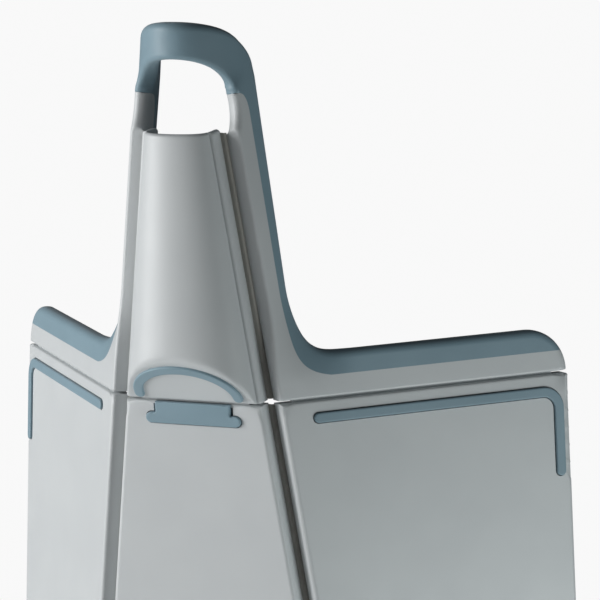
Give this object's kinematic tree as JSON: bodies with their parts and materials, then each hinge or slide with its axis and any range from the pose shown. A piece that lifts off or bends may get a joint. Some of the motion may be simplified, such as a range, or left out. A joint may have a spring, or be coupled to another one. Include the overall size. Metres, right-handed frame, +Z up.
{
  "type": "folding chopping board",
  "caption": "Folding chopping board, folded into a chute and standing on its front edge, with a squeeze handle, living hinges and soft grip trim.",
  "frame": {"origin": "on the symmetry plane, at the middle of the centre panel's thickness, on the surface that the folded board stands on", "axes": "+X across the board to the viewer's right, +Y towards the cutting face that the chute encloses, +Z up along the board to the handle"},
  "size_m": [0.2372, 0.0983, 0.4777],
  "materials": {
    "pale_plastic": "moulded polypropylene, satin with a very fine grain",
    "web_plastic": "thin flexed polypropylene, matte",
    "slate_grip": "soft thermoplastic rubber, matte"
  },
  "bodies": {
    "center": {"center_panel": "pale_plastic", "center_tongue": "pale_plastic", "center_handle_shell": "pale_plastic", "center_lock_tab": "slate_grip", "center_arc_pad": "slate_grip", "grip_arch": "slate_grip", "left_board_hinge_web": "web_plastic", "left_handle_hinge_web": "web_plastic", "right_board_hinge_web": "web_plastic", "right_handle_hinge_web": "web_plastic"},
    "left_side": {"left_side_panel": "pale_plastic", "left_side_tongue": "pale_plastic", "left_upper_foot": "slate_grip", "left_front_foot": "slate_grip", "left_handle_wing": "pale_plastic", "left_grip_band": "slate_grip"},
    "right_side": {"right_side_panel": "pale_plastic", "right_side_tongue": "pale_plastic", "right_upper_foot": "slate_grip", "right_front_foot": "slate_grip", "right_handle_wing": "pale_plastic", "right_grip_band": "slate_grip"}
  },
  "joints": [
    {"name": "left_fold", "type": "hinge", "parent": "center", "child": "left_side", "pos_m": [-0.0262, 0.00275, 0.35], "axis": [-0.1318, 0, -0.9913], "range_deg": [-46.7, 30], "deforming": ["left_board_hinge_web", "left_handle_hinge_web", "grip_arch"]},
    {"name": "right_fold", "type": "hinge", "parent": "center", "child": "right_side", "pos_m": [0.0262, 0.00275, 0.35], "axis": [-0.1318, 0, 0.9913], "range_deg": [-46.7, 30], "deforming": ["right_board_hinge_web", "right_handle_hinge_web"]}
  ],
  "couplings": [
    {"joint": "right_fold", "follows": "left_fold", "ratio": 1}
  ]
}
